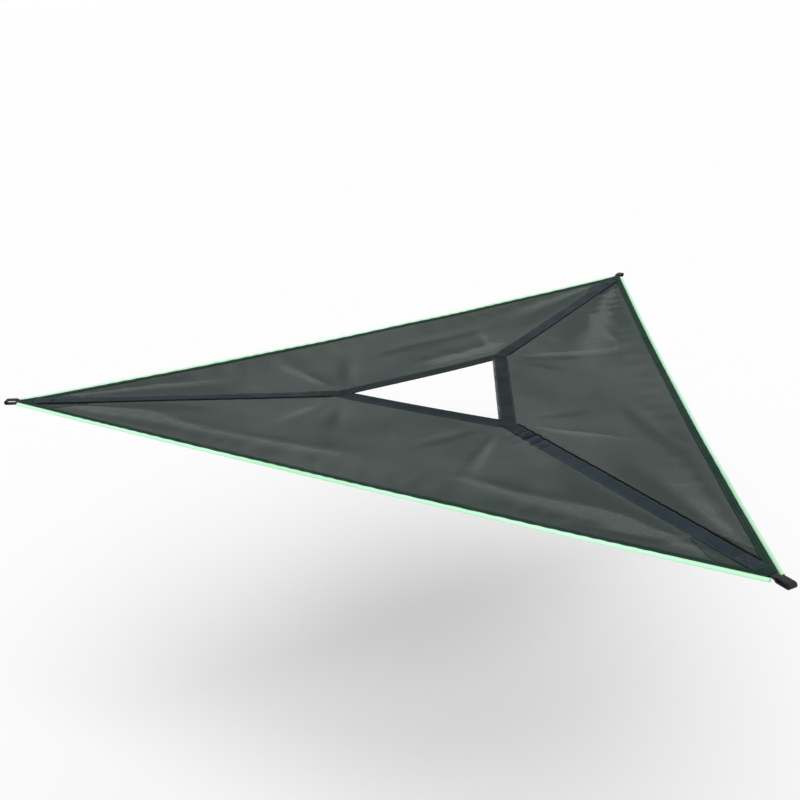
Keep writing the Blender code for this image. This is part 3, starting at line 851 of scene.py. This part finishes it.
def shieldHalf(along):
    besideHem = (hemCrossing - along) * math.tan(rimAngle) - 2 * hang["edgeGap"]
    widening = strap["shieldBack"] + (along - shieldStart) * strap["shieldSpread"]
    return np.minimum(np.minimum(besideHem, strap["shieldHalf"]), widening)


def makeShield(corner, degrees):
    def place(u, v):
        along = shieldStart + (shieldEnd - shieldStart) * u
        return draped(along, v * shieldHalf(along), lift["shield"], degrees)

    size, thickness = (strap["shieldLength"], strap["shieldHalf"]), strap["shieldThickness"]
    us, vs = evenShares(strap["shieldSteps"])
    item = sheetLoft(corner + "Shield", place, us, vs, size, thickness, tapes["shieldCloth"])
    return finishPiece(item, "patch", corner + "_corner_patch")


def paintShieldLight(item):
    # painted light: the netting is painted paler where a shield lies behind it, standing in for light from
    # the shield showing through the pores
    x, y, _ = np.array([vertex.co for vertex in item.data.vertices]).T
    mark = item.data.attributes["fold"].data
    folds = np.empty(len(mark), np.float32)
    mark.foreach_get("value", folds)
    for degrees in cornerTurns.values():
        along, aside = turned(x, y, -degrees)
        fromEnds = np.minimum(along - shieldStart, shieldEnd - along)
        inside = np.minimum(shieldHalf(along) - np.abs(aside), fromEnds)
        folds = folds + strap["shieldPaler"] * smooth(inside, *strap["shieldFade"])
    mark.foreach_set("value", np.clip(folds, -1, 1).astype(np.float32))


slate, dark = ("radial_webbing", "slateStrap"), ("hole_webbing", "darkStrap")
spot = (lift["strap"], strapCrossing + hang["edgeGap"], plyEnd, strap["steps"])
radialPieces = forEach(cornerTurns, makePly, "RadialStrap", "_radial_strap", *slate, *spot)
spot = (lift["upper"], tailStart, plyEnd, strap["plySteps"])
forEach(cornerTurns, makePly, "Tail", "_loop_tail", *slate, *spot)
holePieces = forEach(panelTurns, makeHoleStrap)
forEach(panelTurns, makeHoleRoll)
forEach(cornerTurns, makeWelt)
spot = (lift["upper"], holeCircumradius - strap["patchIn"], patchEnd, strap["plySteps"])
forEach(cornerTurns, makePly, "HolePatch", "_hole_corner_patch", *dark, *spot)
shieldPieces = forEach(cornerTurns, makeShield)
for item in nettingPieces.values():
    paintShieldLight(item)
print("straps made")


# Corner loops, each a ribbon from under the cap, round the eye and back

loop = {
    "rootIn": 0.0155,  # where the ribbon starts, inside the hinge
    "throat": 0.008, "opened": 0.018, "noseCentre": 0.0525,
    "noseRadius": 0.007,  # of the middle of the ply
    "plyApart": 0.00152,  # half the distance between the plies' middles in the throat
    "ply": 0.0029,
    "squeeze": (-0.012, 0.002),  # the plies draw apart between these places
    "thicken": (-0.012, 0.0),
    "letGo": (-0.012, -0.002),  # inside, the ribbon follows the strap under it; outside, it stands on its own
    "bendStart": -0.006,  # the webbing bends between these places along the strap
    "bendEnd": 0.014, "columns": 9,
}


def loopPath():
    # along and height from the hinge: out along the upper ply, round the eye and back along the lower one
    values = loop
    x = np.concatenate([
        np.linspace(-values["rootIn"], values["throat"], 20),
        np.linspace(values["throat"] + 0.001, values["opened"], 9),
        np.linspace(values["opened"] + 0.004, values["noseCentre"] - 0.002, 8),
    ])
    sewn = lift["upper"] - lift["eye"]
    radius = values["noseRadius"]
    z = sewn + (values["plyApart"] - sewn) * smooth(x, *values["squeeze"])
    z = z + (radius - values["plyApart"]) * smooth(x, values["throat"], values["opened"])
    a = np.linspace(0, math.pi, 17)
    nose = np.stack([values["noseCentre"] + radius * np.sin(a), radius * np.cos(a)], axis=1)
    return np.concatenate([np.stack([x, z], axis=1), nose, np.stack([x, -z], axis=1)[::-1]])


def makeLoop(corner, degrees):
    path = loopPath()
    way = unit(np.gradient(path, axis=0))
    run = lengthAlong(path)
    ply = strap["thickness"] + (loop["ply"] - strap["thickness"]) * smooth(path[:, 0], *loop["thicken"])
    offsets, heights = tapeSection(1.0, loop["columns"])
    scale = strapHalfWidth(path[:, 0] + hingeRadius)[:, None] / strapHalf
    faces = []
    for side in (1, -1):
        rise = side * heights[::side] * ply[:, None]
        along = hingeRadius + path[:, :1] - way[:, 1:] * rise
        faces.append(np.stack([along, offsets[::side] * scale, path[:, 1:] + way[:, :1] * rise], axis=-1))
    rings = np.concatenate(faces, axis=1)
    x, y = turned(rings[..., 0], rings[..., 1], degrees)
    ground = clothHeight(x, y) + lift["eye"]
    held = 1 - smooth(rings[..., 0] - hingeRadius, *loop["letGo"])
    points = np.stack([x, y, rings[..., 2] + ground * held], axis=-1)
    item = loft(corner + "Loop", points, run, thereAndBack(offsets), tapes["blackLoop"])
    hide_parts(corner + "_corner_loop")
    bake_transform(item)


forEach(cornerTurns, makeLoop)
print("loops made")


# Corner caps, hem tape sewn over the strap's end and the tips of both hems, above and below

cap = {
    "start": 0.046,  # its ends, inside the hinge
    "end": 0.0065, "thickness": 0.0009, "steps": (25, 49),
    "inset": 0.0012,  # from the outer faces of the hems
    "overTail": 0.00495,  # its middle above the middle of the netting
    "overLoop": 0.001,  # and this much more over the loop's root
    "loopFrom": (0.018, 0.008),  # inside the hinge
    "overHem": 0.00265,
    "step": (-0.0003, 0.0042),  # where it drops from the strap to the hem, outside the strap's edge
    "under": -0.0038,
    "weaveHalf": 0.04,  # the half width of its weave at every place along it
}


def capHalf(along):
    return (circumradius - along) * math.tan(rimAngle) - cap["inset"]


def capHeight(along, aside):
    edge = strapHalfWidth(along)
    beside = smooth(np.abs(aside), edge + cap["step"][0], edge + cap["step"][1])
    rise = smooth(along, hingeRadius - cap["loopFrom"][0], hingeRadius - cap["loopFrom"][1])
    over = cap["overTail"] + cap["overLoop"] * rise
    return over + (cap["overHem"] - over) * beside


def makeCap(corner, degrees, kind):
    length = cap["start"] - cap["end"]

    def place(u, v):
        along = hingeRadius - cap["start"] + length * u
        aside = v * capHalf(along)
        return draped(along, aside, capHeight(along, aside) if kind == "CapTop" else cap["under"], degrees)

    size, (us, vs) = (length, cap["weaveHalf"]), evenShares(cap["steps"])
    item = sheetLoft(corner + kind, place, us, vs, size, cap["thickness"], tapes["hemTape"])
    finishPiece(item, "hem")


for corner, degrees in cornerTurns.items():
    makeCap(corner, degrees, "CapTop")
    makeCap(corner, degrees, "CapUnder")
print("caps made")


# Stitches, set along curves by one node tree

stitch = {
    "length": 0.0046, "pitch": 0.0066,
    "boxPitch": 0.0058,  # in boxes and round caps
    "radius": 0.00052,
    "above": 0.0002,  # the middle of the thread over the face that it lies on
    "hemLines": (0.0195, 0.0065),  # inside the rim
    "holeLine": 0.0205,  # both ways from the middle of the strap
    "seamLine": 0.021, "boxHalf": 0.019,
    "tailBox": (0.006, 0.06),  # from the inner end of the tail
    "patchBox": (0.056, 0.006),  # from the outer end of the patch
    "shieldInset": 0.005, "capInset": 0.004, "shieldDepth": 0.0007,
    "hemEnd": 0.003,  # from the ends of rows to the ends of hems and caps
    "rowEnd": 0.004,  # and of straps
    "rowStep": 0.004, "hemPoints": 700, "holePoints": 160, "shieldPoints": 60,
}


def stitchTree():
    tree = bpy.data.node_groups.new("stitch row", "GeometryNodeTree")
    face = tree.interface
    face.new_socket(name="Geometry", in_out="INPUT", socket_type="NodeSocketGeometry")
    for name in ("Pitch", "Length", "Radius"):
        socket = face.new_socket(name=name, in_out="INPUT", socket_type="NodeSocketFloat")
        socket.default_value = stitch[name.lower()]
    face.new_socket(name="Thread", in_out="INPUT", socket_type="NodeSocketMaterial")
    face.new_socket(name="Geometry", in_out="OUTPUT", socket_type="NodeSocketGeometry")
    given = addNode(tree, "NodeGroupInput").outputs
    plugs = {"Curve": given["Geometry"], "Length": given["Pitch"]}
    rows = feed(tree, "GeometryNodeResampleCurve", plugs, mode="LENGTH")
    ball = feed(tree, "GeometryNodeMeshUVSphere", {"Segments": 6, "Rings": 5, "Radius": 1.0})
    half, radius = math2(tree, "MULTIPLY", given["Length"], 0.5), given["Radius"]
    size = feed(tree, "ShaderNodeCombineXYZ", {"X": half, "Y": radius, "Z": radius})
    shape = feed(tree, "GeometryNodeTransform", {"Geometry": ball, "Scale": size})
    tangent = feed(tree, "GeometryNodeInputTangent")
    turn = feed(tree, "FunctionNodeAlignEulerToVector", {"Vector": tangent}, axis="X")
    placed = feed(tree, "GeometryNodeInstanceOnPoints", {"Points": rows, "Instance": shape, "Rotation": turn})
    real = feed(tree, "GeometryNodeRealizeInstances", {"Geometry": placed})
    cover = feed(tree, "GeometryNodeSetMaterial", {"Geometry": real, "Material": given["Thread"]})
    addNode(tree, "NodeGroupOutput", {"Geometry": cover})
    return tree


stitchNodes = stitchTree()


def sew(name, rows, nodes=(), pitch=None):
    # rows are lists of points; the result is one plain mesh of stitches
    curve = bpy.data.curves.new(name, "CURVE")
    curve.dimensions = "3D"
    for row in rows:
        spline = curve.splines.new("POLY")
        spline.points.add(len(row) - 1)
        spline.points.foreach_set("co", np.column_stack([row, np.ones(len(row))]).astype(np.float32).ravel())
    item = link(name, curve)
    modifier = item.modifiers.new("stitches", "NODES")
    modifier.node_group = stitchNodes
    sockets = {s.name: s.identifier for s in stitchNodes.interface.items_tree if s.in_out == "INPUT"}
    modifier[sockets["Thread"]] = greyThread
    if pitch:
        modifier[sockets["Pitch"]] = pitch
    view = bpy.context.evaluated_depsgraph_get()
    mesh = bpy.data.meshes.new_from_object(item.evaluated_get(view))
    bpy.data.objects.remove(item, do_unlink=True)
    mesh.name = name
    mesh.shade_smooth()
    finishPiece(link(name, mesh), "thread", *nodes)


def cornerRow(start, end, height, degrees):
    # a straight row between two (along, aside) places of a corner piece
    share = np.linspace(0, 1, max(2, round(math.dist(start, end) / stitch["rowStep"])))
    along, aside = (a + (b - a) * share for a, b in zip(start, end))
    return draped(along, aside, height, degrees)


def boxRows(start, end, height, degrees):
    # a rectangle with a cross in it
    half = stitch["boxHalf"]
    a, b, c, d = (start, -half), (end, -half), (end, half), (start, half)
    return [cornerRow(p, q, height, degrees) for p, q in ((a, b), (b, c), (c, d), (d, a), (a, c), (b, d))]


overStrap = lift["strap"] + strap["thickness"] / 2 + stitch["above"]
overUpper = lift["upper"] + strap["thickness"] / 2 + stitch["above"]
overHem = lift["hem"] + rim["hemThickness"] / 2 + stitch["above"]


def sewPanel(panel, degrees):
    rows = []
    for inside in stitch["hemLines"]:
        limit = rimLimit(-inside, bluntCorner, strapHalf) - stitch["hemEnd"]
        rows.append(rimRow(np.linspace(-limit, limit, stitch["hemPoints"]), -inside, overHem, degrees))
    sew(panel + "HemStitching", rows)
    rows = []
    for offset in (-stitch["holeLine"], stitch["holeLine"]):
        limit = (holeApothem + offset) / cornerTangent - stitch["rowEnd"]
        x = np.linspace(-limit, limit, stitch["holePoints"])
        rows.append(draped(x, -holeApothem - offset, overStrap, degrees))
    sew(panel + "HoleStrapStitching", rows)


def capRows(degrees):
    inset = stitch["capInset"]
    start = hingeRadius - cap["start"] + inset
    end = hingeRadius - cap["end"] - stitch["hemEnd"]
    half, endHalf = capHalf(start) - inset, capHalf(end) - inset
    rows = [cornerRow((start, -half), (start, half), 0, degrees)]
    rows += [cornerRow((start, side * half), (end, side * endHalf), 0, degrees) for side in (-1, 1)]
    for row in rows:
        along, aside = turned(row[:, 0], row[:, 1], -degrees)
        row[:, 2] += capHeight(along, aside) + cap["thickness"] / 2 + stitch["above"]
    return rows


def shieldRows(degrees):
    inset = stitch["shieldInset"]
    along = np.linspace(shieldStart + inset, shieldEnd - inset, stitch["shieldPoints"])
    aside = shieldHalf(along) - inset
    under = lift["shield"] - stitch["shieldDepth"]
    rows = [draped(along, side * aside, under, degrees) for side in (-1, 1)]
    rows += [cornerRow((along[i], -aside[i]), (along[i], aside[i]), under, degrees) for i in (0, -1)]
    return rows


def sewCorner(corner, degrees):
    start, end, pitch = patchEnd + stitch["rowEnd"], tailStart - stitch["rowEnd"], stitch["boxPitch"]
    sides = (-stitch["seamLine"], stitch["seamLine"])
    rows = [cornerRow((start, side), (end, side), overStrap, degrees) for side in sides]
    sew(corner + "SeamStitching", rows)
    first, last = stitch["tailBox"]
    rows = boxRows(tailStart + first, tailStart + last, overUpper, degrees)
    sew(corner + "TailStitching", rows, [corner + "_loop_stitching"], pitch)
    sew(corner + "ShieldStitching", shieldRows(degrees), (), pitch)
    sew(corner + "CapStitching", capRows(degrees), (), pitch)
    first, last = stitch["patchBox"]
    rows = boxRows(patchEnd - first, patchEnd - last, overUpper, degrees)
    sew(corner + "PatchStitching", rows, [corner + "_hole_stitching"], pitch)


forEach(panelTurns, sewPanel)
forEach(cornerTurns, sewCorner)
print("stitches made")
# Floor, light and camera

stage = {
    "floorHeight": -1.6, "floorSize": 300.0, "floorColour": (0.97, 0.97, 0.97), "worldLevel": 0.5,
    "sunPower": 2.05,
    "sunAngle": 60,  # how wide the sun looks, in degrees, for soft shadows
    "sunFrom": (1.2, -1.6, 2.6),
}


def mixInto(tree, output, factor, first, second):
    # the surface of an output node is a mix of a shader node and another shader's output
    mix = feed(tree, "ShaderNodeMixShader", {"Fac": factor, 1: first.outputs[0], 2: second})
    fill(tree, tree.nodes[output], {"Surface": mix})


# the floor can't be seen from below
floorMesh = bpy.data.meshes.new("floor")
extent = stage["floorSize"] / 2
ends = ((-1, -1), (1, -1), (1, 1), (-1, 1))
floorCorners = [(x * extent, y * extent, stage["floorHeight"]) for x, y in ends]
floorMesh.from_pydata(floorCorners, [], [(0, 1, 2, 3)])
floor = link("floor", floorMesh)
floorMaterial = bpy.data.materials.new("pale floor")
floorMaterial.use_nodes = True
tree = floorMaterial.node_tree
shader = tree.nodes["Principled BSDF"]
fill(tree, shader, {"Base Color": (*stage["floorColour"], 1), "Roughness": 0.9, "Specular IOR Level": 0.1})
below = addNode(tree, "ShaderNodeNewGeometry").outputs["Backfacing"]
mixInto(tree, "Material Output", below, shader, feed(tree, "ShaderNodeBsdfTransparent"))
floorMesh.materials.append(floorMaterial)

# the sky is white where it is looked at, and dimmer as a light
world = bpy.data.worlds.new("studio")
bpy.context.scene.world = world
world.use_nodes = True
tree = world.node_tree
ambient = tree.nodes["Background"]
fill(tree, ambient, {"Color": (1, 1, 1, 1), "Strength": stage["worldLevel"]})
white = feed(tree, "ShaderNodeBackground", {"Color": (1, 1, 1, 1), "Strength": 1.0})
rays = addNode(tree, "ShaderNodeLightPath").outputs
seen = math2(tree, "MAXIMUM", rays["Is Glossy Ray"], rays["Is Transmission Ray"])
seen = math2(tree, "MAXIMUM", rays["Is Camera Ray"], seen)
mixInto(tree, "World Output", seen, ambient, white)

sun = bpy.data.lights.new("sun", "SUN")
sun.energy = stage["sunPower"]
sun.angle = math.radians(stage["sunAngle"])
sunPlace = link("sun", sun)
sunPlace.rotation_euler = Vector(stage["sunFrom"]).to_track_quat("Z", "Y").to_euler()

view = {
    "place": (1.918, -3.1808, 1.4071), "azimuth": 33.83, "elevation": 21.36, "roll": -3.43,
    "lens": 49.25, "sensor": 36, "farthest": 500,
}
az, el, roll = (math.radians(view[key]) for key in ("azimuth", "elevation", "roll"))
facing = Matrix.Rotation(az, 4, "Z") @ Matrix.Rotation(math.pi / 2 - el, 4, "X")
lens = bpy.data.cameras.new("camera")
lens.lens = view["lens"]
lens.sensor_width = view["sensor"]
lens.clip_end = view["farthest"]
camera = link("camera", lens)
camera.matrix_world = Matrix.Translation(view["place"]) @ facing @ Matrix.Rotation(roll, 4, "Z")
bpy.context.scene.camera = camera
bpy.context.scene.view_settings.view_transform = "Standard"
print("stage set")
